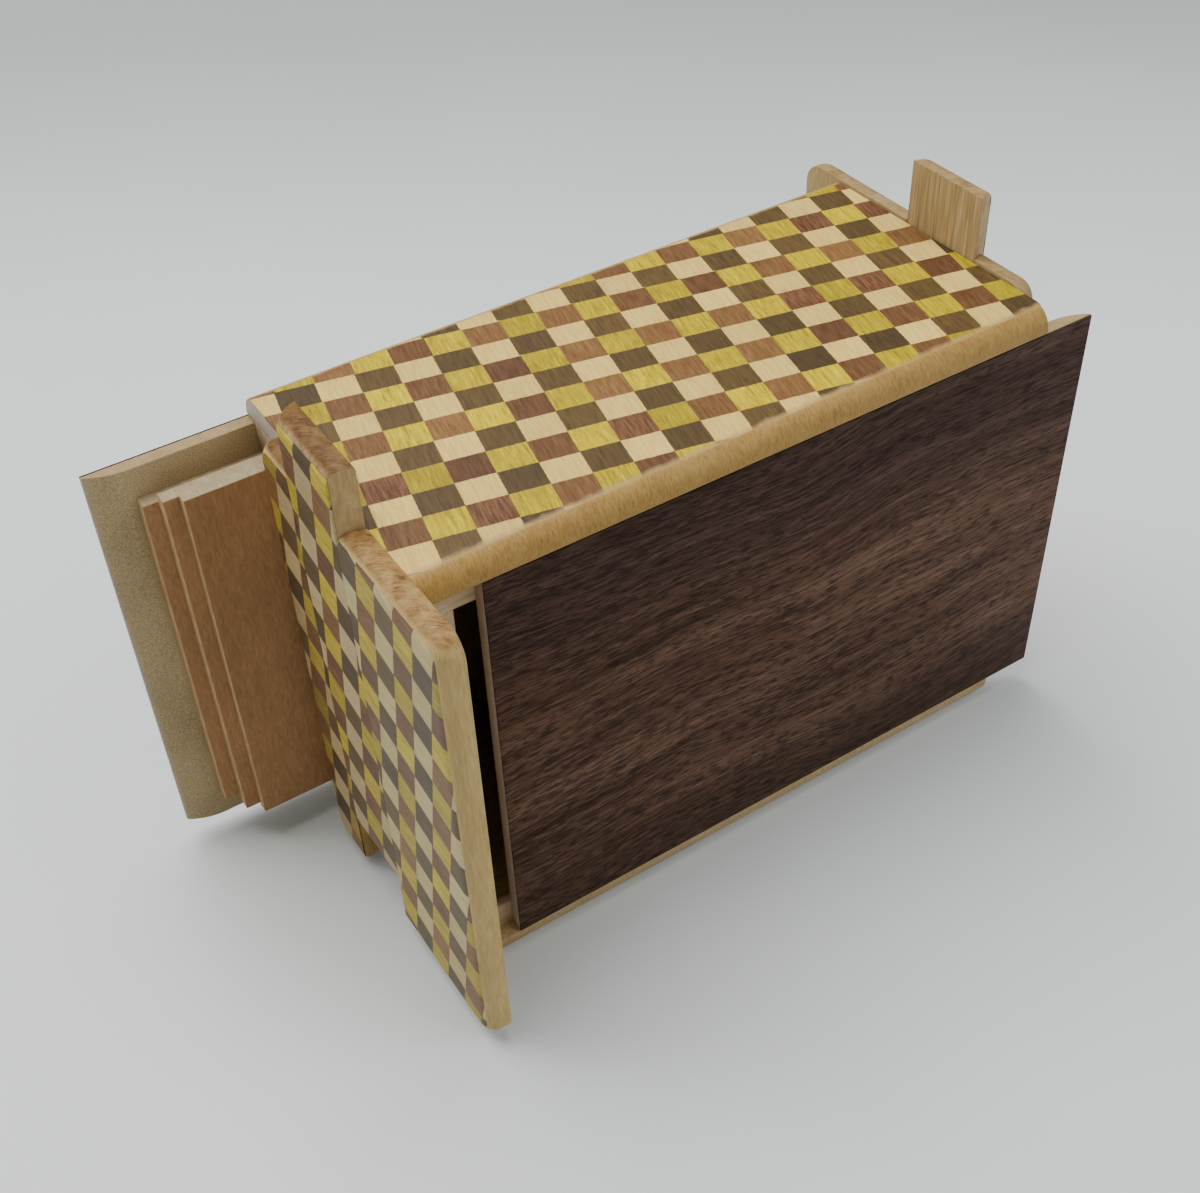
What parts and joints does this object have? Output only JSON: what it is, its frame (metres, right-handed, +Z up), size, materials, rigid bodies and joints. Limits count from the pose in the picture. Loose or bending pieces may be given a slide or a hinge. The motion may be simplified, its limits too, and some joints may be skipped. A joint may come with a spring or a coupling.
{
  "type": "wooden puzzle box",
  "caption": "Small wooden trick box with check-veneer sides, a sliding lid and base panel, and split end panels whose keys and strips slide in turn to free them.",
  "frame": {"origin": "centre of the face that the box lies on, midway along its length and depth", "axes": "+X along the box's length, the way the lid slides; +Y from the lid to the base panel; +Z up, from the face it lies on"},
  "size_m": [0.1493, 0.0755, 0.0972],
  "materials": {
    "pale_core": "satin",
    "check_veneer": "satin",
    "frame_wood": "satin",
    "fibreboard": "satin",
    "pin_wood": "satin",
    "walnut_veneer": "satin",
    "block_wood": "satin",
    "panel_wood": "satin"
  },
  "bodies": {
    "case": {"side_board_top": "pale_core", "side_board_bottom": "pale_core", "side_veneer_top": "check_veneer", "side_veneer_bottom": "check_veneer", "lid_rail_top": "frame_wood", "lid_rail_bottom": "frame_wood", "base_rail_top": "frame_wood", "base_rail_bottom": "frame_wood", "wall_liner_top": "frame_wood", "wall_liner_bottom": "frame_wood", "end_wall_left": "frame_wood", "end_wall_right": "frame_wood", "compartment_floor": "fibreboard", "base_stop_pin": "pin_wood"},
    "lid": {"lid_board": "fibreboard", "lid_veneer": "walnut_veneer", "lid_neck": "block_wood", "lid_tongue": "block_wood"},
    "base_panel": {"base_board": "fibreboard", "base_veneer": "walnut_veneer", "base_neck": "block_wood", "base_tongue": "block_wood", "base_cap": "block_wood"},
    "left_runner": {"left_runner": "frame_wood"},
    "left_panel": {"left_cleat": "frame_wood", "left_key_stop": "pin_wood", "left_wide_strip": "panel_wood", "left_wide_veneer": "check_veneer", "left_narrow_strip": "panel_wood", "left_narrow_veneer": "check_veneer"},
    "left_key_piece": {"left_key": "panel_wood", "left_key_veneer": "check_veneer"},
    "right_runner": {"right_runner": "frame_wood"},
    "right_panel": {"right_cleat": "frame_wood", "right_key_stop": "pin_wood", "right_wide_strip": "panel_wood", "right_wide_veneer": "check_veneer", "right_narrow_strip": "panel_wood", "right_narrow_veneer": "check_veneer"},
    "right_key_piece": {"right_key": "panel_wood", "right_key_veneer": "check_veneer"}
  },
  "joints": [
    {"name": "lid_slide", "type": "slide", "parent": "case", "child": "lid", "axis": [1, 0, 0], "range_m": [-0.00985, 0.09]},
    {"name": "base_slide", "type": "slide", "parent": "case", "child": "base_panel", "axis": [1, 0, 0], "range_m": [0, 0.0268]},
    {"name": "left_panel_slide", "type": "slide", "parent": "case", "child": "left_runner", "axis": [0, 1, 0], "range_m": [0, 0.0041]},
    {"name": "left_panel_lift", "type": "slide", "parent": "left_runner", "child": "left_panel", "axis": [0, 0, 1], "range_m": [-0.0019, 0]},
    {"name": "left_key_slide", "type": "slide", "parent": "left_panel", "child": "left_key_piece", "axis": [0, 0, 1], "range_m": [-0.00995, 0]},
    {"name": "right_panel_slide", "type": "slide", "parent": "case", "child": "right_runner", "axis": [0, 1, 0], "range_m": [-0.0003, 0.0079]},
    {"name": "right_panel_lift", "type": "slide", "parent": "right_runner", "child": "right_panel", "axis": [0, 0, 1], "range_m": [-0.0005, 0]},
    {"name": "right_key_slide", "type": "slide", "parent": "right_panel", "child": "right_key_piece", "axis": [0, 0, 1], "range_m": [-0.0109, 0]}
  ]
}
